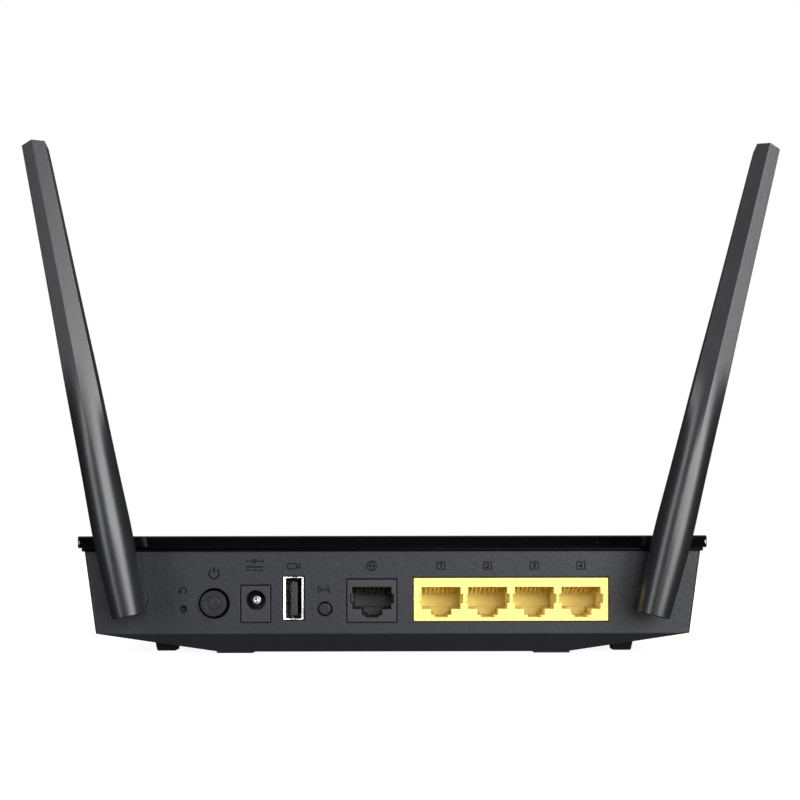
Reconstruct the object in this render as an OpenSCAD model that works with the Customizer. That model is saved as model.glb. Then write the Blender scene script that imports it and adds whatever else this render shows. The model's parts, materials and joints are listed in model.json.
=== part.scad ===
// Wireless router with two swivelling antennas.
// X runs across the rear panel, -Y is the rear, +Z is up, and the table is at z = 0.
// The origin is the middle of the wall-mount keyhole pattern on the underside.

/* [Case] */
// Width of the lower case at its top rim
case_w = 184.8; // [182:0.2:190]
// Depth of the lower case at its top rim
case_d = 125; // [123:1:132]
// Height of the lower case's top rim
rim_z = 31.2; // [30.5:0.1:32]
// Width of the case at the crease above the lower slopes
crease_w = 178.2; // [175:0.2:181]
// Height of the crease
crease_z = 6.5; // [6:0.1:7]
// Depth of the slope below the crease at the front and the rear
slope_d = 7; // [6:0.5:9]
// Width of the flat middle of the underside
floor_w = 107; // [104:1:110]
// Height of the flat underside above the table
floor_z = 0.5; // [0.4:0.1:0.8]
// How far the front wall leans in from the rim to the crease
front_lean = 3.3; // [2:0.1:4]
// Thickness of the walls
wall = 2; // [1.8:0.1:2.2]
// Radius of the upright corners
corner_r = 1; // [0.8:0.1:2]

/* [Top] */
// Thickness of the glossy top cover
cover_t = 3.6; // [3:0.1:4]
// How far the top cover stands out past the lower case
cover_lap = 1.6; // [1.5:0.1:2.4]
// Thickness of the upper frame's edge under the cover
frame_t = 1; // [0.9:0.1:1.5]
// How far the upper frame stands out past the lower case
frame_lap = 0.7; // [0.5:0.05:1.2]

/* [Underside] */
// Distance between the two wall-mount keyholes
keyhole_pitch = 96.8; // [94:0.2:98]
// Radius of a keyhole where the screw head enters
keyhole_r = 4; // [3.5:0.1:4.2]
// Radius of the keyhole's slot for the screw shank
keyslot_r = 2.1; // [1.8:0.1:2.3]
// Width of the raised pads around the keyholes
pad_w = 11; // [10:0.5:12]
// Distance from the rear panel to the rear end of the raised pads
pad_rear = 7.6; // [7:0.1:12]
// Length of the raised pads
pad_d = 104; // [80:1:105]
// Distance of each foot's middle from the centre line
foot_x = 71.5; // [70:0.1:71.5]
// Width of a foot on the table
foot_w = 6.8; // [6:0.1:6.8]
// Length of a foot
foot_d = 6; // [5:0.5:8]
// Distance of each foot's middle from the cross centre line
foot_y = 43.5; // [42:0.1:44]

/* [Sockets and buttons] */
// Height of the main board's top face
board_top = 10; // [9.8:0.1:10.2]
// Place of the reset pinhole across the panel
reset_x = -62.7; // [-64:0.1:-62]
// Place of the power button across the panel
power_x = -53.4; // [-54:0.1:-53]
// Radius of the power button's cap
power_r = 3.86; // [3.5:0.02:4]
// Place of the barrel power socket across the panel
dc_x = -40.95; // [-41.5:0.05:-40.5]
// Place of the USB socket across the panel
usb_x = -29.6; // [-30:0.1:-29.2]
// Place of the pairing button across the panel
wps_x = -20.2; // [-20.6:0.1:-19.8]
// Radius of the pairing button
wps_r = 1.8; // [1.6:0.05:1.9]
// Place of the single network socket across the panel
wan_x = -6.2; // [-6.6:0.1:-5.8]
// Middle of the four-port network block across the panel
lan_x = 35.5; // [35:0.1:36]
// Distance between neighbouring ports of the block
lan_pitch = 13.97; // [13.9:0.01:14.05]

/* [Antennas] */
// Distance of each antenna pivot from the centre line
pivot_x = 77.6; // [76.5:0.1:79]
// Height of the antenna pivots
pivot_z = 17.2; // [16:0.1:18]
// Distance of the antenna axis behind the rear panel
antenna_off = 9.5; // [9:0.1:11]
// Length from pivot to tip
antenna_up = 136.4; // [125:0.1:145]
// Length from pivot down to the cut end
antenna_down = 5; // [4.5:0.1:6]
// Outward lean of the left antenna at rest, in degrees
left_lean = 11.2; // [0:0.1:20]
// Outward lean of the right antenna at rest, in degrees
right_lean = 13.8; // [0:0.1:20]
// Slope of the cut at the tip, in degrees
tip_slope = 30.5; // [10:0.5:42]

/* [Hidden] */

$fn = 48;
EPS = 0.01;
CUT = 1;
HULL_FN = 32;

// Case
rear_y = -case_d / 2;
front_y = case_d / 2;
inner_rear_y = rear_y + wall;
floor_t = 1.8;
floor_top = floor_z + floor_t;
slope_run = (crease_w - floor_w) / 2;
slope_rise = crease_z - floor_z;
panel_gap = 0.3;
joint_gap = 0.25;
foot_seat = 0.9;
foot_slant = 0.9;
bearing_r = 3.4;
turret_r = 4.8;
turret_out = 3;

// Screws that hold the case shut
case_screw_x = 80;
case_screw_ys = [-38, 50];
screw_head_r = 2.7;
screw_head_t = 1.9;
screw_r = 1.4;
screw_clear_r = 1.6;
screw_recess_r = 3.1;
cross_r = 1.2;
screw_seat_z = 7;
screw_web_t = 2;
case_screw_len = 13;
post_r = 3.2;
boss_r = 4.8;
boss_z = 6.2;
post_z = screw_seat_z + screw_web_t + 0.1;

// Top
frame_top = rim_z + frame_t;
cover_top = frame_top + cover_t;
cover_skin = 2;
cover_rim = 3.5;
frame_skirt_h = 3.2;
frame_skirt_t = 1.2;
// Room between the skirt and the walls, which lean in below the rim
skirt_side = wall + joint_gap + 0.5;
skirt_rear = wall + joint_gap;
skirt_front = wall + joint_gap + 0.6;
clip_gap = 0.3;
guide_gap = 0.2;
clip_xs = [-60, 0, 60];
clip_y = 56;
clip_w = 8;
clip_t = 1.2;
clip_h = 3.6;

// Board
board_x = 72;
board_t = 1.6;
board_bottom = board_top - board_t;
board_rear = inner_rear_y + panel_gap;
board_front = 46;
standoff_x = 67.5;
standoff_ys = [-34, 38];
standoff_r = 3;
standoff_sink = 1.2;
board_screw_r = 1.25;
board_screw_head_r = 2.6;
board_screw_head_t = 1.5;
board_screw_len = 5;
pilot_depth = 3.6;
pilot_r = board_screw_r - 0.15;

// Lamps
lamp_count = 8;
lamp_pitch = 8;
lamp_y = 42.5;
lamp_size = [1.6, 1.0, 0.7];
guide_size = [2.6, 1.2];
guide_bar_t = 1.6;

// Network sockets
jack_face = rear_y - 0.2;
jack_d = 18;
lan_h = 13.1;
wan_h = 12.7;
// How far the front of the four-port block is trimmed underneath, and how deep
lan_trim = 0.25;
lan_trim_d = 3;
jack_back = jack_face + jack_d;
lan_ports = 4;
lan_w = 58.2;
wan_w = 14.7;
port_depth = 14.5;
port_notch_depth = 8;
port_latch_depth = 14;
port_main_w = 11.7;
port_notch_w = 13.2;
port_latch_w = 6.2;
port_slot_w = 4;
port_floor = 3.8;
port_roof = 10.4;
port_notch_z = [5.6, 8.3];
port_latch_z = 2;
port_slot_z = 1.3;
contact_count = 8;
contact_pitch = 1.27;
contact_w = 0.46;
contact_t = 0.3;
contact_slot_w = 0.7;
contact_slot_h = 0.9;

// USB socket
usb_w = 5.4;
usb_h = 12.8;
usb_d = 14;
usb_skin = 0.3;
usb_face = rear_y - 0.4;
usb_base = 0.7;
// Width across the flared front edges, how deep they lean in, and how thick they are
usb_flare_w = 6;
usb_flare_d = 0.3;
usb_flare_t = 0.3;

// Barrel power socket
dc_w = 8.7;
dc_h = 10.9;
dc_d = 14.2;
dc_face = rear_y - 0.2;
dc_axis_z = board_top + 6.5;
dc_bore_r = 2.95;
dc_bore_d = 10;
dc_pin_r = 1.25;
dc_pin_in = 3;
dc_flange_t = 0.5;
dc_flange_lap = 0.6;

// Buttons
power_z = board_top + 5.6;
power_hole_r = power_r + 0.74;
power_proud = 1.6;
power_travel = 2;
wps_z = board_top + 3.9;
wps_hole_r = wps_r + 0.4;
wps_proud = 0.8;
reset_z = board_top + 3.8;
reset_hole_r = 1.2;
tact_w = 6;
tact_d = 3.6;
tact_h = 7;
tact_travel = 0.3;
tact_back_t = 1;

// Antennas
antenna_y = rear_y - antenna_off;
journal_r = bearing_r - 0.05;
journal_end = antenna_off + wall + 2.2;
journal_bore_r = 1.4;
clip_groove_r = 2.85;
clip_outer_r = 5.2;
clip_mouth = 4;
clip_from = antenna_off + wall + 0.15;
clip_thick = 0.8;
sleeve_bore_r = 3.5;
sleeve_bore_top = 44;
blade_bore_r = 1.4;
blade_bore_top = 108;
ring_step = 5.5;
ring_sides = 6;
side_points = 6;
side_share = 0.42;
ridge_share = 0.785;
morph_from = 36;
morph_to = 74;
// Half width of an antenna at heights along it from the pivot
half_widths = [[-5, 4.85], [6, 5.3], [19, 5.68], [36, 5.38], [48, 5.15], [84, 4.3], [136, 3.45]];
cable_r = 0.69;
feed_top = 43;
tube_from = 14;
tube_to = 42;
tube_r = 2;
tube_bore_r = 1;
whip_r = 0.5;
whip_to = 111;

// Pigtails, from the antenna journals to the board
plug_z = board_top + 1.9;
left_plug = [-60, 6, plug_z];
right_plug = [-22, 34, plug_z];
LEFT_ROUTE = [
    [-pivot_x, rear_y - 1, pivot_z], [-pivot_x, -58, pivot_z], [-76, -50, 16.2],
    [-73.5, -37, 14.4], [-72.5, -20, 13], [-70.5, -6, 12.2], [-66.5, 4, 11.8],
    [-60, 6, plug_z],
];
RIGHT_ROUTE = [
    [pivot_x, rear_y - 1, pivot_z], [pivot_x, -58, pivot_z], [76, -50, 16.2],
    [73.5, -35, 14.2], [72, -8, 13], [66, 12, 12.4], [54, 26, 12],
    [36, 33, 11.8], [12, 35, 11.8], [-8, 34, 11.8], [-22, 34, plug_z],
];
route_steps = 3;
cable_sides = 8;

// ---------------------------------------------------------------- shapes used by several parts

// A box between two opposite corners
module span_box(low, high) {
    translate(low) cube(high - low);
}

// A rod along Y
module rod_y(x, z, y0, y1, r) {
    translate([x, y0, z]) rotate([-90, 0, 0]) cylinder(h = y1 - y0, r = r);
}

// A rod along Z
module rod_z(x, y, z0, z1, r) {
    translate([x, y, z0]) cylinder(h = z1 - z0, r = r);
}

// A rectangle with round corners, between two opposite corners
module round_rect(low, high, r) {
    translate([low[0] + r, low[1]]) square([high[0] - low[0] - 2 * r, high[1] - low[1]]);
    translate([low[0], low[1] + r]) square([high[0] - low[0], high[1] - low[1] - 2 * r]);
    for (x = [low[0] + r, high[0] - r], y = [low[1] + r, high[1] - r])
        translate([x, y]) circle(r);
}

// A slab with round upright corners
module round_slab(low, high, r, z0, z1) {
    translate([0, 0, z0]) linear_extrude(z1 - z0) round_rect(low, high, r);
}

// One thin level of the lower case, drawn in by inset all round
module case_level(half_w, y0, y1, z, inset, r) {
    round_slab(
        [-half_w + inset, y0 + inset], [half_w - inset, y1 - inset], r, z, z + EPS,
        $fn = HULL_FN
    );
}

// The lower case's outer form, or with an inset its hollow
module case_form(inset, lift, top, r) {
    hull() {
        case_level(floor_w / 2, rear_y + slope_d, front_y - front_lean - slope_d, floor_z + lift, inset, r);
        case_level(crease_w / 2, rear_y, front_y - front_lean, crease_z + lift / 2, inset, r);
        case_level(case_w / 2, rear_y, front_y, top - EPS, inset, r);
    }
}

// Height of the sloped underside at a distance from the centre line
function underside_z(x) = floor_z + max(0, abs(x) - floor_w / 2) * slope_rise / slope_run;

// A thin strip of constant thickness along a line of points, in the YZ plane
function unit(v) = v / norm(v);
function left_of(v) = [-v[1], v[0]];
function mitre(p, i, d) =
    let (
        a = i == 0 ? unit(p[1] - p[0]) : unit(p[i] - p[i - 1]),
        b = i == len(p) - 1 ? a : unit(p[i + 1] - p[i]),
        m = unit(left_of(a) + left_of(b))
    )
    p[i] + m * d / (m * left_of(a));
module strip(points, thickness, width) {
    n = len(points);
    one_side = [for (i = [0:n - 1]) mitre(points, i, thickness / 2)];
    other_side = [for (i = [n - 1:-1:0]) mitre(points, i, -thickness / 2)];
    rotate([90, 0, 90])
        translate([0, 0, -width / 2])
            linear_extrude(width) polygon(concat(one_side, other_side));
}

// Points on a smooth curve through the given points
function curve_point(p, i, t) =
    let (
        a = p[max(i - 1, 0)],
        b = p[i],
        c = p[i + 1],
        d = p[min(i + 2, len(p) - 1)]
    )
    0.5 * (2 * b + (c - a) * t + (2 * a - 5 * b + 4 * c - d) * t * t
        + (3 * b - a - 3 * c + d) * t * t * t);
function curve(p, steps) = concat(
    [for (i = [0:len(p) - 2], k = [0:steps - 1]) curve_point(p, i, k / steps)],
    [p[len(p) - 1]]
);

// A round cable along a curve through the given points; across is never along the cable
module cable(route, r, across) {
    p = curve(route, route_steps);
    n = len(p);
    k = cable_sides;
    dirs = [for (i = [0:n - 1]) unit(p[min(i + 1, n - 1)] - p[max(i - 1, 0)])];
    rings = [
        for (i = [0:n - 1])
            let (u = unit(cross(dirs[i], across)), v = cross(dirs[i], u))
                for (j = [0:k - 1]) p[i] + r * (u * cos(360 * j / k) + v * sin(360 * j / k))
    ];
    sides = [
        for (i = [0:n - 2], j = [0:k - 1])
            let (a = i * k + j, b = i * k + (j + 1) % k)
                each [[a, a + k, b], [b, a + k, b + k]]
    ];
    ends = [[for (j = [0:k - 1]) j], [for (j = [k - 1:-1:0]) (n - 1) * k + j]];
    polyhedron(rings, concat(sides, ends));
}

// ---------------------------------------------------------------- case

module keyhole() {
    rod_z(0, 0, -CUT, floor_top + CUT, keyhole_r);
    span_box([-keyslot_r, 0, -CUT], [keyslot_r, keyhole_r + 5, floor_top + CUT]);
    rod_z(0, keyhole_r + 5, -CUT, floor_top + CUT, keyslot_r);
}

module vent_slots(count, pitch, length, r) {
    for (i = [0:count - 1])
        translate([(i - (count - 1) / 2) * pitch, 0, -CUT])
            linear_extrude(floor_top + 2 * CUT) {
                square([2 * r, length - 2 * r], center = true);
                for (s = [-1, 1]) translate([0, s * (length / 2 - r)]) circle(r);
            }
}

// The part of the rear panel that each socket needs open
module panel_cut(x, z0, z1, w) {
    g = panel_gap;
    span_box([x - w / 2 - g, rear_y - CUT, z0 - g], [x + w / 2 + g, inner_rear_y + CUT, z1 + g]);
}

module panel_cuts() {
    y0 = rear_y - CUT;
    y1 = inner_rear_y + CUT;
    panel_cut(lan_x, board_top + lan_trim, board_top + lan_h, lan_w);
    panel_cut(wan_x, board_top, board_top + wan_h, wan_w);
    panel_cut(usb_x, board_top + usb_base, board_top + usb_base + usb_h, usb_flare_w);
    panel_cut(dc_x, board_top, board_top + dc_h, dc_w);
    rod_y(power_x, power_z, y0, y1, power_hole_r);
    rod_y(wps_x, wps_z, y0, y1, wps_hole_r);
    rod_y(reset_x, reset_z, y0, y1, reset_hole_r);
    for (s = [-1, 1])
        rod_y(s * pivot_x, pivot_z, rear_y - turret_out - CUT, y1, bearing_r);
}

// A foot's outline across the case, standing in a recess that follows the slope.
// Its outer side slants in towards the table by slant.
module foot(bottom, slant) {
    x0 = foot_x - foot_w / 2;
    x1 = foot_x + foot_w / 2;
    rotate([90, 0, 0])
        translate([0, 0, -foot_d / 2])
            linear_extrude(foot_d)
                polygon([
                    [x0, bottom],
                    [x1 - slant, bottom],
                    [x1, underside_z(x1)],
                    [x1, underside_z(x1) + foot_seat],
                    [x0, underside_z(x0) + foot_seat],
                ]);
}
module at_feet() {
    for (sx = [0, 1], sy = [-1, 1]) mirror([sx, 0, 0]) translate([0, sy * foot_y, 0]) children();
}

module bottom_case() {
    color([0.13, 0.13, 0.14])
        difference() {
            union() {
                difference() {
                    case_form(0, 0, rim_z, corner_r);
                    case_form(wall, floor_t, rim_z + CUT, corner_r / 2);
                }
                for (s = [-1, 1]) {
                    translate([s * keyhole_pitch / 2, rear_y + pad_rear, 0])
                        span_box([-pad_w / 2, 0, 0], [pad_w / 2, pad_d, floor_z + EPS]);
                    rod_y(s * pivot_x, pivot_z, rear_y - turret_out, rear_y + EPS, turret_r);
                    for (y = case_screw_ys)
                        rod_z(s * case_screw_x, y, boss_z, screw_seat_z + screw_web_t, boss_r);
                    for (y = standoff_ys)
                        rod_z(s * standoff_x, y, floor_top + standoff_sink, board_bottom, standoff_r);
                }
            }
            panel_cuts();
            at_feet() foot(-CUT, 0);
            for (s = [-1, 1]) {
                translate([s * keyhole_pitch / 2, 0, 0]) keyhole();
                for (y = case_screw_ys) {
                    rod_z(s * case_screw_x, y, -CUT, screw_seat_z, screw_recess_r);
                    rod_z(s * case_screw_x, y, 0, screw_seat_z + screw_web_t + CUT, screw_clear_r);
                }
                for (y = standoff_ys)
                    rod_z(s * standoff_x, y, board_bottom - pilot_depth, board_bottom + CUT, pilot_r);
            }
            for (y = [-30, 30]) translate([0, y, 0]) vent_slots(13, 5.5, 26, 1);
        }
}

module upper_frame() {
    lap = frame_lap;
    t = frame_skirt_t;
    low = [-case_w / 2 + skirt_side, rear_y + skirt_rear];
    high = [case_w / 2 - skirt_side, front_y - skirt_front];
    color([0.05, 0.05, 0.055])
        difference() {
            union() {
                round_slab(
                    [-case_w / 2 - lap, rear_y - lap], [case_w / 2 + lap, front_y + lap],
                    corner_r, rim_z, frame_top
                );
                difference() {
                    round_slab(low, high, corner_r, rim_z - frame_skirt_h, rim_z + EPS);
                    round_slab(
                        low + [t, t], high - [t, t], corner_r / 2, rim_z - frame_skirt_h - CUT, rim_z
                    );
                }
                for (s = [-1, 1], y = case_screw_ys)
                    rod_z(s * case_screw_x, y, post_z, rim_z + EPS, post_r);
            }
            for (s = [-1, 1], y = case_screw_ys)
                rod_z(s * case_screw_x, y, post_z - CUT, post_z + case_screw_len, screw_r);
            for (x = clip_xs, s = [-1, 1])
                translate([x, s * clip_y, 0])
                    span_box(
                        [-clip_w / 2 - clip_gap, -clip_t / 2 - clip_gap, rim_z - CUT],
                        [clip_w / 2 + clip_gap, clip_t / 2 + clip_gap, frame_top + CUT]
                    );
            for (i = [0:lamp_count - 1])
                translate([lamp_place(i), lamp_y, rim_z - CUT])
                    linear_extrude(frame_t + 2 * CUT)
                        square(guide_size + 2 * [guide_gap, guide_gap], center = true);
        }
}

module top_cover() {
    lap = cover_lap;
    color([0.02, 0.02, 0.025])
        difference() {
            union() {
                difference() {
                    round_slab(
                        [-case_w / 2 - lap, rear_y - lap], [case_w / 2 + lap, front_y + lap],
                        corner_r, frame_top, cover_top
                    );
                    round_slab(
                        [-case_w / 2 - lap + cover_rim, rear_y - lap + cover_rim],
                        [case_w / 2 + lap - cover_rim, front_y + lap - cover_rim],
                        corner_r / 2, frame_top - CUT, cover_top - cover_skin
                    );
                }
                for (x = clip_xs, s = [-1, 1])
                    translate([x, s * clip_y, 0])
                        span_box(
                            [-clip_w / 2, -clip_t / 2, cover_top - cover_skin - clip_h],
                            [clip_w / 2, clip_t / 2, cover_top - cover_skin + EPS]
                        );
            }
            for (i = [0:lamp_count - 1])
                translate([lamp_place(i), lamp_y, frame_top - CUT])
                    linear_extrude(cover_t + 2 * CUT)
                        square(guide_size + [guide_gap, guide_gap] / 2, center = true);
        }
}

module rubber_feet() {
    color([0.03, 0.03, 0.03]) at_feet() foot(0, foot_slant);
}

module case_screws() {
    color("silver")
        for (s = [-1, 1], y = case_screw_ys)
            translate([s * case_screw_x, y, screw_seat_z])
                difference() {
                    union() {
                        rod_z(0, 0, -screw_head_t, 0, screw_head_r);
                        rod_z(0, 0, -EPS, case_screw_len, screw_r);
                    }
                    cross_slot(0, 0, -screw_head_t, cross_r);
                }
}

// The cross in a screw's head or a can's vent, cut into the face at height z
module cross_slot(x, y, z, r) {
    half = 0.3;
    depth = 1;
    translate([x, y, z]) {
        span_box([-r, -half, -depth], [r, half, depth]);
        span_box([-half, -r, -depth], [half, r, depth]);
    }
}

// ---------------------------------------------------------------- board and what it carries

module main_board() {
    color([0.02, 0.25, 0.12])
        difference() {
            span_box([-board_x, board_rear, board_bottom], [board_x, board_front, board_top]);
            for (s = [-1, 1], y = standoff_ys)
                rod_z(s * standoff_x, y, board_bottom - CUT, board_top + CUT, board_screw_r + 0.2);
        }
}

module board_screws() {
    color("silver")
        for (s = [-1, 1], y = standoff_ys)
            translate([s * standoff_x, y, board_top])
                difference() {
                    union() {
                        rod_z(0, 0, 0, board_screw_head_t, board_screw_head_r);
                        rod_z(0, 0, -board_screw_len, EPS, board_screw_r);
                    }
                    cross_slot(0, 0, board_screw_head_t, cross_r);
                }
}

// A chip on the board: a body and its rows of legs along two sides, joined to it
module chip(x, y, w, d, h, legs, pitch) {
    leg_w = pitch * 0.45;
    leg_out = 0.9;
    translate([x, y, board_top]) {
        span_box([-w / 2, -d / 2, 0.1], [w / 2, d / 2, h]);
        for (i = [0:legs - 1], s = [-1, 1])
            translate([(i - (legs - 1) / 2) * pitch, s * d / 2, 0])
                span_box([-leg_w / 2, -leg_out, 0], [leg_w / 2, leg_out, 0.35]);
    }
}

processor_at = [-4, 6];
processor_w = 14;
processor_h = 1.3;
pad_h = 0.6;
module processor_chip() {
    w = processor_w;
    color([0.08, 0.08, 0.08]) chip(processor_at[0], processor_at[1], w, w, processor_h, 20, 0.65);
}
module thermal_pad() {
    half = processor_w / 2;
    color([0.5, 0.6, 0.75])
        translate([processor_at[0], processor_at[1], board_top + processor_h])
            span_box([-half, -half, 0], [half, half, pad_h]);
}
module heat_sink() {
    z = board_top + processor_h + pad_h;
    w = 22;
    base = 1.8;
    fins = 7;
    fin_t = 1;
    fin_h = 7;
    color([0.75, 0.76, 0.78])
        translate([processor_at[0], processor_at[1], z]) {
            span_box([-w / 2, -w / 2, 0], [w / 2, w / 2, base]);
            for (i = [0:fins - 1])
                translate([-w / 2 + i * (w - fin_t) / (fins - 1), 0, 0])
                    span_box([0, -w / 2, base - EPS], [fin_t, w / 2, base + fin_h]);
        }
}
module memory_chip() {
    color([0.08, 0.08, 0.08]) chip(24, 12, 22, 10, 1.1, 27, 0.8);
}
module flash_chip() {
    color([0.08, 0.08, 0.08]) chip(-26, 8, 5.2, 5.4, 1.8, 4, 1.27);
}
module switch_chip() {
    color([0.08, 0.08, 0.08]) chip(34, -18, 14, 14, 1.2, 20, 0.65);
}
module radio_chip() {
    color([0.08, 0.08, 0.08])
        translate([-40, 24, board_top]) span_box([-4, -4, 0], [4, 4, 0.9]);
}
module radio_shield() {
    w = 30;
    d = 24;
    h = 2.6;
    skin = 0.25;
    hole_r = 0.8;
    color([0.7, 0.71, 0.72])
        translate([-42, 24, board_top])
            difference() {
                span_box([-w / 2, -d / 2, 0], [w / 2, d / 2, h]);
                span_box([-w / 2 + skin, -d / 2 + skin, -CUT], [w / 2 - skin, d / 2 - skin, h - skin]);
                for (i = [-2:2], j = [-1:1])
                    rod_z(i * w / 6, j * d / 4, h - CUT, h + CUT, hole_r);
            }
}
module network_transformers() {
    places = concat([wan_x], [for (i = [0:lan_ports - 1]) port_place(i)]);
    color([0.1, 0.1, 0.11])
        for (x = places) chip(x, -36, 10, 7, 5.6, 8, 1.27);
}
module capacitors() {
    can_r = 3.15;
    vent_r = 2.2;
    vent_lift = 0.8;
    color([0.25, 0.3, 0.5])
        for (p = [[-52, -36, 8], [-43, -36, 8], [-34, -36, 6], [-52, -26, 6], [-46, 41.5, 6]])
            translate([p[0], p[1], board_top])
                difference() {
                    rod_z(0, 0, 0, p[2], can_r);
                    cross_slot(0, 0, p[2] + vent_lift, vent_r);
                }
}
module power_inductor() {
    half = 3.6;
    core_r = 3;
    base_t = 1;
    top_z = 3.4;
    h = 4.2;
    color([0.2, 0.2, 0.21])
        translate([-38, -24, board_top]) {
            span_box([-half, -half, 0], [half, half, base_t]);
            rod_z(0, 0, base_t - EPS, top_z, core_r);
            span_box([-half, -half, top_z - EPS], [half, half, h]);
        }
}
module crystal() {
    half_w = 3.2;
    end_r = 2.3;
    h = 3.4;
    color([0.75, 0.75, 0.76])
        for (p = [[14, -10], [-26, -4]])
            translate([p[0], p[1], board_top])
                linear_extrude(h) {
                    square([2 * half_w, 2 * end_r], center = true);
                    for (s = [-1, 1]) translate([s * half_w, 0]) circle(end_r);
                }
}
module regulator_chips() {
    color([0.08, 0.08, 0.08]) {
        chip(-24, -26, 5, 4, 1.5, 4, 1.27);
        chip(-12, -22, 5, 4, 1.5, 4, 1.27);
        chip(48, 12, 5, 4, 1.5, 4, 1.27);
    }
}

function lamp_place(i) = (i - (lamp_count - 1) / 2) * lamp_pitch;

module status_leds() {
    color([0.9, 0.95, 0.8])
        for (i = [0:lamp_count - 1])
            translate([lamp_place(i) - lamp_size[0] / 2, lamp_y - lamp_size[1] / 2, board_top])
                cube(lamp_size);
}

// A bar under the upper frame, with a leg down to each lamp and a tip up through the cover
module light_guide() {
    bar_w = lamp_count * lamp_pitch;
    bar_half_d = 2;
    bar_top = rim_z - guide_gap;
    leg_z = board_top + lamp_size[2] + 2 * guide_gap;
    color([0.85, 0.9, 0.92])
        translate([0, lamp_y, 0]) {
            span_box([-bar_w / 2, -bar_half_d, bar_top - guide_bar_t], [bar_w / 2, bar_half_d, bar_top]);
            for (i = [0:lamp_count - 1])
                translate([lamp_place(i) - guide_size[0] / 2, -guide_size[1] / 2, leg_z])
                    cube([guide_size[0], guide_size[1], cover_top - leg_z]);
        }
}

// ---------------------------------------------------------------- sockets

function port_place(i) = lan_x + (i - (lan_ports - 1) / 2) * lan_pitch;

// The hollow of one network port, centred on x
module port_hollow(x) {
    translate([x, jack_face, board_top]) {
        recess(port_main_w, port_floor, port_roof, port_depth);
        recess(port_notch_w, port_notch_z[0], port_notch_z[1], port_notch_depth);
        recess(port_latch_w, port_latch_z, port_floor + EPS, port_latch_depth);
        recess(port_slot_w, port_slot_z, port_latch_z + EPS, port_latch_depth);
        for (i = [0:contact_count - 1])
            translate([contact_place(i) - contact_slot_w / 2, 1, port_roof - EPS])
                cube([contact_slot_w, jack_d, contact_slot_h]);
    }
}

// A square recess in a face on the plane y = 0, w wide, from z0 to z1 and depth deep
module recess(w, z0, z1, depth) {
    span_box([-w / 2, -CUT, z0], [w / 2, depth, z1]);
}

function contact_place(i) = (i - (contact_count - 1) / 2) * contact_pitch;

// One port's contact wires: along the roof, folded at the front, and slanting back down inside
module port_contacts(x) {
    roof = board_top + port_roof;
    path = [
        [jack_back + 0.6, board_top + 0.2],
        [jack_back + 0.6, roof + 0.45],
        [jack_face + 2, roof + 0.45],
        [jack_face + 1.7, roof + 0.1],
        [jack_face + 2.2, roof - 0.25],
        [jack_face + 10, roof - 2.3],
    ];
    for (i = [0:contact_count - 1])
        translate([x + contact_place(i), 0, 0]) strip(path, contact_t, contact_w);
}

module jack_block(x, w, h) {
    span_box([x - w / 2, jack_face, board_top], [x + w / 2, jack_back, board_top + h]);
}

module lan_jack_housing() {
    color([0.95, 0.8, 0.2])
        difference() {
            jack_block(lan_x, lan_w, lan_h);
            translate([lan_x, jack_face, board_top]) recess(lan_w + CUT, -CUT, lan_trim, lan_trim_d);
            for (i = [0:lan_ports - 1]) port_hollow(port_place(i));
        }
}
module lan_jack_contacts() {
    color([0.85, 0.65, 0.25]) for (i = [0:lan_ports - 1]) port_contacts(port_place(i));
}
module wan_jack_housing() {
    color([0.05, 0.05, 0.05])
        difference() {
            jack_block(wan_x, wan_w, wan_h);
            port_hollow(wan_x);
        }
}
module wan_jack_contacts() {
    color([0.85, 0.65, 0.25]) port_contacts(wan_x);
}

usb_z0 = board_top + usb_base;
usb_front = usb_face + usb_flare_d;
module usb_shell() {
    window = 2;
    half = usb_w / 2;
    inside = half - usb_skin;
    color([0.8, 0.8, 0.82])
        translate([usb_x, 0, usb_z0]) {
            difference() {
                span_box([-half, usb_front, 0], [half, usb_face + usb_d, usb_h]);
                span_box(
                    [-inside, usb_front - CUT, usb_skin],
                    [inside, usb_face + usb_d + CUT, usb_h - usb_skin]
                );
                for (share = [0.3, 0.7])
                    translate([half, usb_face + 4, usb_h * share])
                        span_box([-CUT, 0, -window / 2], [CUT, 2 * window, window / 2]);
            }
            for (s = [0, 1]) mirror([s, 0, 0]) usb_flare(inside);
        }
}

// The flared front edge along one long side of the USB shell
module usb_flare(inside) {
    edge = usb_flare_w / 2;
    linear_extrude(usb_h)
        polygon([
            [inside, usb_front],
            [edge, usb_face],
            [edge, usb_face + usb_flare_t],
            [inside + usb_skin, usb_front + usb_flare_t],
            [inside, usb_front + usb_flare_t],
        ]);
}

tongue_x = usb_x + 0.15;
tongue_half_t = 0.9;
tongue_z = [usb_z0 + 1.3, usb_z0 + usb_h - 1.5];
module usb_tongue() {
    back_y = usb_face + usb_d;
    block_y = back_y - 3;
    color([0.15, 0.15, 0.16]) {
        span_box(
            [tongue_x - tongue_half_t, usb_face + 1.4, tongue_z[0]],
            [tongue_x + tongue_half_t, block_y + EPS, tongue_z[1]]
        );
        span_box(
            [usb_x - usb_w / 2 + usb_skin, block_y, usb_z0 + usb_skin],
            [usb_x + usb_w / 2 - usb_skin, back_y, usb_z0 + usb_h - usb_skin]
        );
    }
}
module usb_contacts() {
    count = 4;
    pitch = 2.4;
    half = 0.5;
    middle = (tongue_z[0] + tongue_z[1]) / 2;
    x = tongue_x - tongue_half_t;
    color([0.9, 0.75, 0.35])
        for (i = [0:count - 1])
            translate([0, 0, middle + (i - (count - 1) / 2) * pitch])
                span_box([x - 0.2, usb_face + 2.4, -half], [x, usb_face + 10.4, half]);
}

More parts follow.
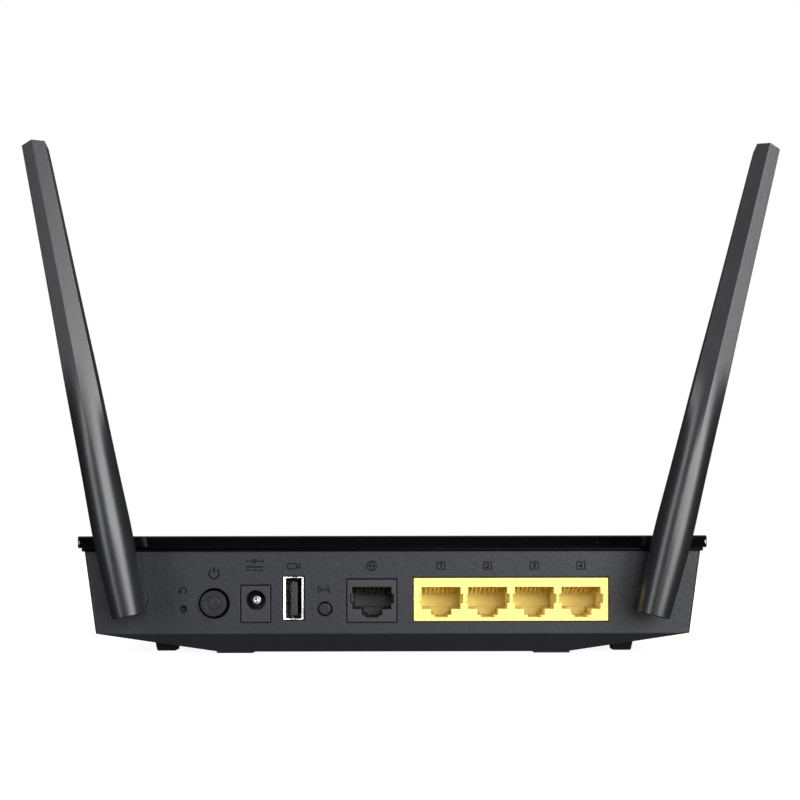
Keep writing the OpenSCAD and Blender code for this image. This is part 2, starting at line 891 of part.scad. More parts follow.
module dc_jack_housing() {
    color([0.1, 0.1, 0.11])
        difference() {
            translate([dc_x - dc_w / 2, dc_face, board_top]) cube([dc_w, dc_d, dc_h]);
            rod_y(dc_x, dc_axis_z, dc_face - CUT, dc_face + dc_bore_d, dc_bore_r);
            // slot under the barrel's bore for the side spring
            span_box(
                [dc_x - 1, dc_face + 1, board_top - CUT],
                [dc_x + 1, dc_face + dc_bore_d, dc_axis_z - dc_bore_r + 0.4]
            );
            rod_y(dc_x, dc_axis_z, dc_face + dc_bore_d - EPS, dc_face + dc_d + CUT, dc_pin_r);
        }
}
module dc_jack_pin() {
    dimple_r = 0.6;
    back_y = dc_face + dc_d;
    end_y = back_y + dc_flange_t;
    color("gold")
        difference() {
            union() {
                rod_y(dc_x, dc_axis_z, dc_face + dc_pin_in, end_y, dc_pin_r);
                rod_y(dc_x, dc_axis_z, back_y, end_y, dc_pin_r + dc_flange_lap);
            }
            rod_y(dc_x, dc_axis_z, dc_face, dc_face + dc_pin_in + 3, dimple_r);
        }
}
module dc_jack_spring() {
    bottom = dc_axis_z - dc_bore_r;
    color("silver")
        translate([dc_x, 0, 0])
            strip([
                [dc_face + 9.4, board_top + 0.15],
                [dc_face + 3, board_top + 1.4],
                [dc_face + 1.6, board_top + 2],
                [dc_face + 2.2, bottom - 0.2],
                [dc_face + 4.2, bottom + 0.45],
                [dc_face + 6.2, bottom - 0.1],
            ], 0.3, 1.6);
}

// ---------------------------------------------------------------- switches and buttons

power_case_y = rear_y + 12;
power_case_d = 8;
power_back_t = 1;
power_stem_y = rear_y + 5;
power_stem_half = 1.25;
module power_switch_case() {
    half = 4;
    hole = power_stem_half + 0.1;
    color([0.12, 0.12, 0.13])
        translate([power_x, power_case_y, 0])
            difference() {
                span_box([-half, 0, board_top], [half, power_case_d, power_z + half]);
                span_box(
                    [-hole, -CUT, power_z - hole],
                    [hole, power_case_d - power_back_t, power_z + hole]
                );
            }
}
module power_switch_stem() {
    half = power_stem_half;
    end_y = power_case_y + power_case_d - power_back_t - power_travel - 0.3;
    color([0.9, 0.9, 0.88])
        span_box([power_x - half, power_stem_y, power_z - half], [power_x + half, end_y, power_z + half]);
}

// Round cap with a shallow engraved ring and bar on its face
module power_button() {
    face = rear_y - power_proud;
    cap_end = rear_y + 8.5;
    mark_depth = 0.3;
    mark_gap = 0.8;
    half = power_stem_half;
    mark_r = 2.3;
    mark_w = 0.45;
    color([0.16, 0.16, 0.17])
        difference() {
            rod_y(power_x, power_z, face, cap_end, power_r);
            difference() {
                rod_y(power_x, power_z, face - CUT, face + mark_depth, mark_r);
                rod_y(power_x, power_z, face - 2 * CUT, face + 1, mark_r - mark_w);
                span_box(
                    [power_x - mark_gap, face - 2 * CUT, power_z],
                    [power_x + mark_gap, face + 1, power_z + mark_r + 1]
                );
            }
            span_box(
                [power_x - mark_w / 2, face - CUT, power_z],
                [power_x + mark_w / 2, face + mark_depth, power_z + mark_r]
            );
            span_box(
                [power_x - half, power_stem_y, power_z - half],
                [power_x + half, cap_end + CUT, power_z + half]
            );
        }
}

// A right-angle push switch standing on the board, with its round hole facing the rear
module tact_case(x, z, y, hole_r) {
    difference() {
        translate([x - tact_w / 2, y, board_top]) cube([tact_w, tact_d, tact_h]);
        rod_y(x, z, y - CUT, y + tact_d - tact_back_t, hole_r);
    }
}
// Where the inner end of a push switch's button stops, for a switch whose front is at y
function tact_end(y) = y + tact_d - tact_back_t - tact_travel - 0.2;
wps_case_y = rear_y + 5;
module wps_switch_case() {
    color([0.12, 0.12, 0.13]) tact_case(wps_x, wps_z, wps_case_y, wps_r + 0.1);
}
module wps_button() {
    color([0.16, 0.16, 0.17])
        rod_y(wps_x, wps_z, rear_y - wps_proud, tact_end(wps_case_y), wps_r);
}
reset_case_y = rear_y + 6.5;
reset_plunger_r = 1.5;
module reset_switch_case() {
    color([0.12, 0.12, 0.13]) tact_case(reset_x, reset_z, reset_case_y, reset_plunger_r + 0.1);
}
module reset_button() {
    color([0.1, 0.1, 0.11])
        rod_y(reset_x, reset_z, inner_rear_y + 0.8, tact_end(reset_case_y), reset_plunger_r);
}

// ---------------------------------------------------------------- antennas

// Places a piece drawn round an antenna's own axis: pivot at the origin, tip up, journal along +Y
module at_pivot(side) {
    lean = side < 0 ? -left_lean : right_lean;
    translate([side * pivot_x, antenna_y, pivot_z]) rotate([0, lean, 0]) children();
}

function half_width(s) = lookup(s, half_widths);
function morph(s) =
    let (t = min(1, max(0, (s - morph_from) / (morph_to - morph_from)))) t * t * (3 - 2 * t);
function blade_corners(a) = [
    [0, -ridge_share * a], [a, -side_share * a], [a, side_share * a],
    [0, ridge_share * a], [-a, side_share * a], [-a, -side_share * a],
];

// One section of the antenna: round below, six-sided above, and a blend of the two between
function section(s) = [
    for (e = [0:ring_sides - 1], k = [0:side_points - 1])
        let (
            a = half_width(s),
            corners = blade_corners(a),
            t = k / side_points,
            flat = corners[e] * (1 - t) + corners[(e + 1) % ring_sides] * t,
            round_point = unit(flat) * a,
            m = morph(s)
        )
        flat * m + round_point * (1 - m)
];

module antenna_form() {
    body_top = antenna_up - 8;
    count = floor((body_top + antenna_down) / ring_step);
    step = (body_top + antenna_down) / count;
    n = ring_sides * side_points;
    chamfer = 0.4;
    shrink = 1 - chamfer / half_width(-antenna_down);
    low = [for (p = section(-antenna_down)) [p[0] * shrink, p[1] * shrink, -antenna_down]];
    middle = [
        for (i = [0:count])
            let (s = i == 0 ? -antenna_down + chamfer : -antenna_down + i * step)
                for (p = section(s)) [p[0], p[1], s]
    ];
    rear = -ridge_share * half_width(antenna_up);
    tip = [for (p = section(antenna_up)) [p[0], p[1], antenna_up - (p[1] - rear) * tan(tip_slope)]];
    points = concat(low, middle, tip);
    rings = count + 3;
    sides = [
        for (i = [0:rings - 2], j = [0:n - 1])
            let (a = i * n + j, b = i * n + (j + 1) % n)
                each [[a, a + n, b], [b, a + n, b + n]]
    ];
    ends = [[for (j = [0:n - 1]) j], [for (j = [n - 1:-1:0]) (rings - 1) * n + j]];
    polyhedron(points, concat(sides, ends));
}

module antenna_sleeve() {
    color([0.13, 0.13, 0.14])
        difference() {
            union() {
                antenna_form();
                rod_y(0, 0, 0, journal_end, journal_r);
            }
            rod_z(0, 0, -antenna_down - CUT, sleeve_bore_top, sleeve_bore_r);
            rod_z(0, 0, sleeve_bore_top - EPS, blade_bore_top, blade_bore_r);
            rod_z(0, 0, blade_bore_top - EPS, whip_to + 1, whip_r + 0.05);
            rod_y(0, 0, 0, journal_end + CUT, journal_bore_r);
            difference() {
                rod_y(0, 0, clip_from - 0.05, clip_from + clip_thick + 0.1, journal_r + 1);
                rod_y(0, 0, clip_from - CUT, clip_from + clip_thick + CUT, clip_groove_r);
            }
        }
}
module antenna_plug() {
    color([0.1, 0.1, 0.11]) rod_z(0, 0, -antenna_down, -antenna_down + 2.2, sleeve_bore_r - 0.02);
}
module antenna_clip() {
    color("silver")
        difference() {
            rod_y(0, 0, clip_from, clip_from + clip_thick, clip_outer_r);
            rod_y(0, 0, clip_from - CUT, clip_from + clip_thick + CUT, clip_groove_r + 0.05);
            span_box(
                [-clip_mouth / 2, clip_from - CUT, -clip_outer_r - CUT],
                [clip_mouth / 2, clip_from + clip_thick + CUT, 0]
            );
        }
}
module radiator() {
    color([0.85, 0.65, 0.3]) {
        difference() {
            rod_z(0, 0, tube_from, tube_to, tube_r);
            rod_z(0, 0, tube_from - CUT, tube_to + CUT, tube_bore_r);
        }
        rod_z(0, 0, feed_top, whip_to, whip_r);
    }
}
module feed_cable() {
    route = [[0, 7.8, 0], [0, 4.5, 0.1], [0, 1.8, 1.2], [0, 0.3, 4], [0, 0, 8], [0, 0, feed_top]];
    color([0.05, 0.05, 0.05]) cable(route, cable_r, [1, 0, 0]);
}

module left_antenna_sleeve() at_pivot(-1) antenna_sleeve();
module left_antenna_plug() at_pivot(-1) antenna_plug();
module left_antenna_clip() at_pivot(-1) antenna_clip();
module left_radiator() at_pivot(-1) radiator();
module left_feed_cable() at_pivot(-1) feed_cable();
module right_antenna_sleeve() at_pivot(1) antenna_sleeve();
module right_antenna_plug() at_pivot(1) antenna_plug();
module right_antenna_clip() at_pivot(1) antenna_clip();
module right_radiator() at_pivot(1) radiator();
module right_feed_cable() at_pivot(1) feed_cable();

module left_pigtail() {
    color([0.05, 0.05, 0.05]) cable(LEFT_ROUTE, cable_r, [0, 0, 1]);
}
module right_pigtail() {
    color([0.2, 0.2, 0.2]) cable(RIGHT_ROUTE, cable_r, [0, 0, 1]);
}
module antenna_sockets() {
    color("gold")
        for (p = [left_plug, right_plug])
            translate([p[0], p[1], board_top]) {
                span_box([-1.3, -1.3, 0], [1.3, 1.3, 0.5]);
                rod_z(0, 0, 0.5 - EPS, 1, 0.9);
            }
}
module pigtail_plugs() {
    color("gold")
        for (p = [left_plug, right_plug])
            translate([p[0], p[1], board_top + 1]) cylinder(h = 0.2, r = 1.5);
}

// ---------------------------------------------------------------- drawing

bottom_case();
upper_frame();
top_cover();
rubber_feet();
case_screws();
main_board();
board_screws();
lan_jack_housing();
lan_jack_contacts();
wan_jack_housing();
wan_jack_contacts();
usb_shell();
usb_tongue();
usb_contacts();
dc_jack_housing();
dc_jack_pin();
dc_jack_spring();
power_switch_case();
power_switch_stem();
power_button();
wps_switch_case();
wps_button();
reset_switch_case();
reset_button();
left_antenna_sleeve();
left_antenna_plug();
left_antenna_clip();
left_radiator();
left_feed_cable();
left_pigtail();
right_antenna_sleeve();
right_antenna_plug();
right_antenna_clip();
right_radiator();
right_feed_cable();
right_pigtail();
antenna_sockets();
pigtail_plugs();
processor_chip();
thermal_pad();
heat_sink();
memory_chip();
flash_chip();
switch_chip();
radio_chip();
radio_shield();
network_transformers();
capacitors();
power_inductor();
crystal();
regulator_chips();
status_leds();
light_guide();
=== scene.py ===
"""Looks of a wireless router: materials, fine antenna skins, panel marks and a pale studio."""
import json
import math

import bmesh
import bpy
from mathutils import Matrix, Vector


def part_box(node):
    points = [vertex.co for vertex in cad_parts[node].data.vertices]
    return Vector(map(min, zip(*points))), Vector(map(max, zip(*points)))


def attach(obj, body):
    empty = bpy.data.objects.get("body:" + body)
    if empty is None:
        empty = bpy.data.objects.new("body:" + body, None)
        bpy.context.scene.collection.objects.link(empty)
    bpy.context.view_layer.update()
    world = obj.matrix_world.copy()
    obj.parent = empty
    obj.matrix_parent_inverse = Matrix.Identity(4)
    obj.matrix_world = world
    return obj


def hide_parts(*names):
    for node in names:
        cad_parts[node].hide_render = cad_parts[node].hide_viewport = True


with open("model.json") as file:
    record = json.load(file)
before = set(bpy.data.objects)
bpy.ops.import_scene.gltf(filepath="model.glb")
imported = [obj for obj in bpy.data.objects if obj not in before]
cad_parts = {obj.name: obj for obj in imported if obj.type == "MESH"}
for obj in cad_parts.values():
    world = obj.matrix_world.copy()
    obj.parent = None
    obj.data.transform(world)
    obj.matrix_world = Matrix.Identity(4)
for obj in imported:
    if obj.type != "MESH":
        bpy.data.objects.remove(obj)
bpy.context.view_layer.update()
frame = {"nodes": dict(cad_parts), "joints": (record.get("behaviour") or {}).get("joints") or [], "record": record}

MM = 0.001
JOINTS = {joint["name"]: joint for joint in frame["joints"]}

# Places on the case, from the frame; the yellow block stands SOCKET_PROUD mm out of the panel
SOCKET_PROUD = 0.2
PANEL_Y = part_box("lan_jack_housing")[0].y + SOCKET_PROUD * MM
LID_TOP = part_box("top_cover")[1].z

# Antenna form, in millimetres, with places measured along the antenna from its pivot;
# HALF_WIDTHS pairs a place with the half width there
ANTENNA_UP = 136.4
ANTENNA_DOWN = 5.0
HALF_WIDTHS = ((-5, 4.85), (6, 5.3), (19, 5.68), (36, 5.38), (48, 5.15), (84, 4.3), (136, 3.45))
SIDE_SHARE = 0.42
RIDGE_SHARE = 0.785
MORPH_FROM = 36.0
MORPH_TO = 74.0
TIP_SLOPE = math.radians(30.5)
EDGE_ROUND = 0.2
TIP_ROUND = 0.3
TIP_LENGTH = 8.0
END_ROUND = 0.4
SLEEVE_BORE_R = 3.5
SLEEVE_BORE_TOP = 44.0
BLADE_BORE_R = 1.4
BLADE_BORE_TOP = 112.0
JOURNAL_R = 3.35
JOURNAL_END = 13.7
JOURNAL_BORE_R = 1.4
GROOVE_R = 2.85
GROOVE_FROM = 11.6
GROOVE_TO = 12.55
# How far a cutting rod reaches past what it cuts
CUT = 1.0

# Counts of the antenna's rings and of the points round each of them
BODY_RINGS = 66
ROUNDING_STEPS = 5
CORNER_POINTS = 6
SIDE_POINTS = 9


# ---------------------------------------------------------------- material building blocks

# Dot product of the plain and the rounded normal where an edge starts to show and where it is full
EDGE_STARTS = 0.985
EDGE_IS_FULL = 0.86


class Paint:
    """A material under construction: its node tree, its shader and one object-space coordinate."""

    def __init__(self, name):
        self.material = bpy.data.materials.new(name)
        self.material.use_nodes = True
        self.tree = self.material.node_tree
        self.shader = self.tree.nodes["Principled BSDF"]
        self.coordinate = self.tree.nodes.new("ShaderNodeTexCoord").outputs["Object"]

    def node(self, kind, **values):
        made = self.tree.nodes.new(kind)
        for key, value in values.items():
            setattr(made, key, value)
        return made

    def link(self, source, target):
        self.tree.links.new(source, target)

    def set(self, **values):
        """Plain values on the shader's own sockets; underscores stand for spaces."""
        for key, value in values.items():
            socket = self.shader.inputs[key.replace("_", " ")]
            socket.default_value = (*value, 1.0) if isinstance(value, tuple) else value

    def stretched(self, stretch):
        mapping = self.node("ShaderNodeMapping")
        mapping.inputs["Scale"].default_value = stretch
        self.link(self.coordinate, mapping.inputs["Vector"])
        return mapping.outputs["Vector"]

    def noise(self, size, detail=2.0, stretch=(1, 1, 1)):
        """Noise with features about size metres across."""
        noise = self.node("ShaderNodeTexNoise")
        noise.inputs["Scale"].default_value = 1 / size
        noise.inputs["Detail"].default_value = detail
        self.link(self.stretched(stretch), noise.inputs["Vector"])
        return noise.outputs["Fac"]

    def spread(self, value, low, high, start=0.3, stop=0.7):
        """Maps a pattern's start..stop onto low..high."""
        spread = self.node("ShaderNodeMapRange")
        for key, number in zip(("From Min", "From Max", "To Min", "To Max"), (start, stop, low, high)):
            spread.inputs[key].default_value = number
        self.link(value, spread.inputs["Value"])
        return spread.outputs["Result"]

    def product(self, a, b):
        product = self.node("ShaderNodeMath", operation="MULTIPLY")
        self.link(a, product.inputs[0])
        self.link(b, product.inputs[1])
        return product.outputs[0]

    def mix(self, factor, first, second):
        """A colour between first and second; either may be a colour or another node's output."""
        mix = self.node("ShaderNodeMix", data_type="RGBA")
        self.link(factor, mix.inputs["Factor"])
        for socket, value in ((mix.inputs[6], first), (mix.inputs[7], second)):
            if isinstance(value, tuple):
                socket.default_value = (*value, 1.0)
            else:
                self.link(value, socket)
        return mix.outputs[2]

    def rounded(self, radius):
        """The surface normal as if sharp edges were rounded to a radius."""
        bevel = self.node("ShaderNodeBevel", samples=4)
        bevel.inputs["Radius"].default_value = radius
        return bevel.outputs["Normal"]

    def edges(self, rounded):
        """1 along sharp edges, falling to 0 where a rounded normal meets the plain one."""
        plain = self.node("ShaderNodeNewGeometry").outputs["Normal"]
        dot = self.node("ShaderNodeVectorMath", operation="DOT_PRODUCT")
        self.link(rounded, dot.inputs[0])
        self.link(plain, dot.inputs[1])
        return self.spread(dot.outputs["Value"], 0.0, 1.0, EDGE_STARTS, EDGE_IS_FULL)

    def bump(self, height, depth, below=None):
        """A bump of depth metres from a 0..1 height, on top of another bump if one is given."""
        bump = self.node("ShaderNodeBump")
        bump.inputs["Distance"].default_value = depth
        self.link(height, bump.inputs["Height"])
        if below is not None:
            self.link(below, bump.inputs["Normal"])
        return bump.outputs["Normal"]

    def colour(self, value):
        self.link(value, self.shader.inputs["Base Color"])

    def roughness(self, value):
        self.link(value, self.shader.inputs["Roughness"])

    def normal(self, value):
        self.link(value, self.shader.inputs["Normal"])


def shade(colour, factor):
    """A colour made lighter or darker by a factor."""
    return tuple(min(1.0, channel * factor) for channel in colour)


def moulded(name, colour, rough, grain, depth, edge_wear_and_highlight=1.5, blotch=0.10, specular=0.5, edge=0.0003):
    """Moulded plastic: spark-eroded grain, slow changes of tone and roughness, and edges painted lighter, as
    rubbed wear and as a painted highlight.
    """
    paint = Paint(name)
    fine = paint.noise(grain, 3.0)
    coarse = paint.noise(grain * 3.7, 2.0)
    slow = paint.noise(0.021, 2.0)
    tone = paint.mix(slow, shade(colour, 1 - blotch), shade(colour, 1 + blotch))
    speck = paint.mix(paint.spread(fine, 0, 1), tone, shade(colour, 1 + blotch * 2.5))
    rounded = paint.rounded(edge)
    # Edges made lighter: partly rubbed wear, partly a painted highlight along the rounded edges.
    rubbed_and_highlit_edges = paint.product(paint.edges(rounded), paint.spread(paint.noise(0.004, 4.0), 0.25, 1.0))
    paint.colour(paint.mix(rubbed_and_highlit_edges, speck, shade(colour, edge_wear_and_highlight)))
    paint.roughness(paint.spread(slow, rough * 0.93, rough * 1.07))
    paint.normal(paint.bump(fine, depth, paint.bump(coarse, depth * 1.6, rounded)))
    paint.set(Specular_IOR_Level=specular)
    return paint.material


def polished(name, colour, rough):
    """Glossy lacquered plastic: faint orange peel, a little dust and fine hairlines."""
    paint = Paint(name)
    peel = paint.noise(0.0045, 1.0)
    dust = paint.noise(0.0009, 5.0)
    hairs = paint.noise(0.0016, 2.0, (1, 0.03, 1))
    specks = paint.spread(dust, 0, 1, 0.66, 0.74)
    rounded = paint.rounded(0.0004)
    edge = paint.edges(rounded)
    base = paint.mix(specks, colour, shade(colour, 4))
    paint.colour(paint.mix(edge, base, shade(colour, 1.8)))
    paint.roughness(paint.spread(hairs, rough, rough * 2.2, 0.45, 0.85))
    paint.normal(paint.bump(peel, 0.000004, rounded))
    paint.set(Specular_IOR_Level=0.3, Coat_Weight=0.05, Coat_Roughness=0.04)
    return paint.material


def metal(name, colour, rough, stretch=(1, 1, 1), brush=0.0006, depth=0.000006):
    """Metal with drawn or rolled lines, small tarnish and brighter edges."""
    paint = Paint(name)
    lines = paint.noise(brush, 3.0, stretch)
    tarnish = paint.noise(0.003, 4.0)
    worn = paint.edges(paint.rounded(0.0002))
    tone = paint.mix(paint.spread(tarnish, 0, 1), shade(colour, 0.82), colour)
    paint.colour(paint.mix(worn, tone, shade(colour, 1.25)))
    paint.roughness(paint.spread(lines, rough * 0.7, rough * 1.35))
    paint.normal(paint.bump(lines, depth))
    paint.set(Metallic=1.0)
    return paint.material


def rubber(name, colour, rough):
    """Soft rubber: fine pitted skin, dust in the low places."""
    paint = Paint(name)
    pits = paint.noise(0.0004, 4.0)
    dust = paint.noise(0.006, 3.0)
    paint.colour(paint.mix(paint.spread(dust, 0, 0.5), colour, shade(colour, 2.4)))
    paint.roughness(paint.spread(pits, rough * 0.9, rough * 1.1))
    paint.normal(paint.bump(pits, 0.00003))
    paint.set(Specular_IOR_Level=0.15, Sheen_Weight=0.02)
    return paint.material


def laminate(name):
    """Green solder mask with copper runs that show as lighter, raised lines."""
    paint = Paint(name)
    runs = paint.node("ShaderNodeTexBrick", offset=0.37, squash=1.0)
    sizes = {"Scale": 260.0, "Mortar Size": 0.09, "Brick Width": 1.6, "Row Height": 0.35}
    for key, number in sizes.items():
        runs.inputs[key].default_value = number
    paint.link(paint.stretched((1, 1, 1)), runs.inputs["Vector"])
    blotch = paint.noise(0.012, 3.0)
    copper = paint.product(runs.outputs["Fac"], paint.spread(blotch, 0, 1, 0.42, 0.55))
    paint.colour(paint.mix(copper, (0.006, 0.072, 0.026), (0.016, 0.16, 0.052)))
    paint.roughness(paint.spread(blotch, 0.26, 0.4))
    paint.normal(paint.bump(copper, 0.00003))
    return paint.material


def clear(name):
    """Clear polished plastic with faint flow lines."""
    paint = Paint(name)
    flow = paint.noise(0.002, 3.0, (1, 1, 0.2))
    paint.set(Transmission_Weight=0.9, IOR=1.49)
    paint.colour(paint.mix(paint.spread(flow, 0, 1), (0.80, 0.86, 0.88), (0.90, 0.94, 0.95)))
    paint.roughness(paint.spread(flow, 0.05, 0.16))
    paint.normal(paint.bump(flow, 0.00001))
    return paint.material


def printed(name, colour):
    """Pad-printed ink: a thin film whose edge and density vary a little."""
    paint = Paint(name)
    density = paint.noise(0.0007, 4.0)
    paint.colour(paint.mix(paint.spread(density, 0, 1), colour, shade(colour, 1.5)))
    paint.roughness(paint.spread(density, 0.5, 0.7))
    paint.normal(paint.bump(density, 0.000005))
    paint.set(Specular_IOR_Level=0.12)
    return paint.material


# ---------------------------------------------------------------- materials, by the record's slot

MATERIALS = {
    # The case's strong edge lightening is mostly a painted highlight line along its rounded edges, with some
    # rubbed wear.
    "case_plastic": moulded(
        "case_plastic", (0.0112, 0.0116, 0.0146), 0.5, 0.00034, 0.00007,
        edge_wear_and_highlight=2.4, blotch=0.2, specular=0.27, edge=0.0004,
    ),
    "frame_plastic": moulded(
        "frame_plastic", (0.001, 0.001, 0.0014), 0.26, 0.0005, 0.00001, edge_wear_and_highlight=1.6, specular=0.04,
    ),
    "gloss_cover": polished("gloss_cover", (0.006, 0.006, 0.008), 0.05),
    "antenna_plastic": moulded(
        "antenna_plastic", (0.008, 0.0083, 0.0098), 0.33, 0.0003, 0.000012, edge_wear_and_highlight=1.3, edge=0.00012,
    ),
    "button_plastic": moulded(
        "button_plastic", (0.006, 0.0062, 0.0074), 0.42, 0.0003, 0.00001, specular=0.35,
    ),
    "foot_rubber": rubber("foot_rubber", (0.003, 0.003, 0.0035), 0.8),
    "screw_steel": metal("screw_steel", (0.62, 0.62, 0.64), 0.32, (1, 1, 1), 0.0003),
    "board_laminate": laminate("board_laminate"),
    "yellow_plastic": moulded(
        "yellow_plastic", (0.73, 0.575, 0.165), 0.42, 0.0006, 0.000008,
        edge_wear_and_highlight=1.05, blotch=0.04, specular=0.2,
    ),
    "black_plastic": moulded(
        "black_plastic", (0.0085, 0.0086, 0.0104), 0.48, 0.0004, 0.00002, edge_wear_and_highlight=1.8, specular=0.45,
    ),
    "white_plastic": moulded(
        "white_plastic", (0.72, 0.72, 0.69), 0.4, 0.0006, 0.000008, edge_wear_and_highlight=1.1, blotch=0.03,
    ),
    "contact_gold": metal("contact_gold", (0.86, 0.64, 0.26), 0.24, (1, 0.1, 1)),
    "tinned_steel": metal("tinned_steel", (0.86, 0.86, 0.88), 0.3, (1, 0.08, 1)),
    "radiator_brass": metal("radiator_brass", (0.76, 0.58, 0.28), 0.28, (1, 1, 0.05)),
    "cable_jacket": moulded("cable_jacket", (0.014, 0.014, 0.014), 0.45, 0.0006, 0.000008),
    "chip_resin": moulded(
        "chip_resin", (0.016, 0.016, 0.018), 0.6, 0.0003, 0.000012, edge_wear_and_highlight=1.3, blotch=0.2,
    ),
    "pad_silicone": rubber("pad_silicone", (0.24, 0.34, 0.52), 0.7),
    "sink_aluminium": metal("sink_aluminium", (0.78, 0.79, 0.81), 0.3, (1, 0.04, 1), 0.0005),
    "capacitor_sleeve": polished("capacitor_sleeve", (0.03, 0.05, 0.16), 0.16),
    "lamp_resin": moulded(
        "lamp_resin", (0.80, 0.84, 0.66), 0.5, 0.0005, 0.000006, edge_wear_and_highlight=1.0, blotch=0.05,
    ),
    "clear_plastic": clear("clear_plastic"),
}
DARK_INK = printed("dark_ink", (0.0012, 0.0012, 0.0015))
PALE_INK = printed("pale_ink", (0.42, 0.43, 0.45))


# ---------------------------------------------------------------- CAD nodes

# Width in millimetres of the rounding on the edges of the nodes that show
EDGE_WIDTHS = {
    "top_cover": 0.5,
    "upper_frame": 0.2,
    "rubber_feet": 0.4,
    "lan_jack_housing": 0.12,
    "wan_jack_housing": 0.12,
    "dc_jack_housing": 0.15,
    "usb_shell": 0.08,
    "usb_tongue": 0.12,
    "power_button": 0.1,
    "wps_button": 0.25,
    "dc_jack_pin": 0.15,
    "case_screws": 0.12,
}
EDGE_SEGMENTS = 3
EDGE_ANGLE = math.radians(28)
FLAT_ANGLE = math.radians(0.4)
SKIN_SHARP_ANGLE = math.radians(32)
WELD_DISTANCE = 0.002


def soften(node, width):
    """Joins a node's seams, rounds its edges and evens its shading, by modifiers only."""
    obj = frame["nodes"][node]
    mesh = obj.data
    custom = mesh.attributes.get("custom_normal")
    if custom is not None:
        mesh.attributes.remove(custom)
    mesh.shade_smooth()
    weld = obj.modifiers.new("weld", "WELD")
    weld.merge_threshold = WELD_DISTANCE * MM
    plane = obj.modifiers.new("plane", "DECIMATE")
    plane.decimate_type = "DISSOLVE"
    plane.angle_limit = FLAT_ANGLE
    edge = obj.modifiers.new("edge", "BEVEL")
    edge.width = width * MM
    edge.segments = EDGE_SEGMENTS
    edge.limit_method = "ANGLE"
    edge.angle_limit = EDGE_ANGLE
    edge.use_clamp_overlap = False
    edge.harden_normals = False
    even = obj.modifiers.new("even", "WEIGHTED_NORMAL")
    even.keep_sharp = True


def dress_nodes():
    """Gives every CAD node its slot's material, and the ones that show soft edges."""
    slots = {part["node"]: part["material_slot"] for part in frame["record"]["subparts"]}
    for name, obj in frame["nodes"].items():
        for material_slot in obj.material_slots:
            material_slot.material = MATERIALS[slots[name]]
    for name, width in EDGE_WIDTHS.items():
        soften(name, width)


# ---------------------------------------------------------------- new pieces

def new_object(name, data):
    """A new object in the scene's own collection."""
    obj = bpy.data.objects.new(name, data)
    bpy.context.scene.collection.objects.link(obj)
    return obj


def piece(name, mesh, material, body):
    """A new piece of the router, riding on a CAD body."""
    obj = new_object(name, mesh)
    mesh.materials.clear()
    mesh.materials.append(material)
    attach(obj, body)
    return obj


def mesh_of(name, vertices, faces):
    mesh = bpy.data.meshes.new(name)
    mesh.from_pydata([tuple(v) for v in vertices], [], faces)
    mesh.validate()
    return mesh


def loft(name, rings):
    """A closed solid through rings of equal count, with both ends filled."""
    count = len(rings[0])
    faces = [tuple(reversed(range(count)))]
    for i in range(len(rings) - 1):
        for j in range(count):
            a, b = i * count + j, i * count + (j + 1) % count
            faces.append((a, b, b + count, a + count))
    last = (len(rings) - 1) * count
    faces.append(tuple(range(last, last + count)))
    return mesh_of(name, [point for ring in rings for point in ring], faces)


def rod(name, start, end, radius, sides=96):
    """A closed round rod between two points."""
    axis = (end - start).normalized()
    across = axis.orthogonal().normalized()
    up = axis.cross(across)
    angles = [2 * math.pi * i / sides for i in range(sides)]
    spokes = [(across * math.cos(a) + up * math.sin(a)) * radius for a in angles]
    return loft(name, [[start + spoke for spoke in spokes], [end + spoke for spoke in spokes]])


def combined(base, tools):
    """base with each (operation, mesh) applied to it exactly, as a new mesh."""
    target = new_object("target", base)
    helpers = []
    for operation, mesh in tools:
        helper = new_object("helper", mesh)
        helpers.append(helper)
        step = target.modifiers.new("step", "BOOLEAN")
        step.operation = operation
        step.solver = "EXACT"
        step.object = helper
    bpy.context.view_layer.update()
    evaluated = target.evaluated_get(bpy.context.evaluated_depsgraph_get())
    made = bpy.data.meshes.new_from_object(evaluated)
    for obj in [target, *helpers]:
        bpy.data.objects.remove(obj)
    return made


# ---------------------------------------------------------------- antennas

def smooth_lookup(s, table):
    """A smooth curve through the table's points."""
    last = len(table) - 1
    i = max(0, min(last - 1, sum(1 for x, _ in table[1:] if x <= s)))
    (x0, y0), (x1, y1) = table[i], table[i + 1]

    def tangent(k):
        (xa, ya), (xb, yb) = table[max(0, k - 1)], table[min(last, k + 1)]
        return (yb - ya) / (xb - xa)

    span = x1 - x0
    t = (s - x0) / span
    return (
        y0 * (1 + 2 * t) * (1 - t) ** 2 + y1 * t * t * (3 - 2 * t)
        + span * (tangent(i) * t * (1 - t) ** 2 - tangent(i + 1) * t * t * (1 - t))
    )


def morph(s):
    """How far the section has gone from round to six-sided at height s, from 0 to 1."""
    t = min(1.0, max(0.0, (s - MORPH_FROM) / (MORPH_TO - MORPH_FROM)))
    return t * t * (3 - 2 * t)


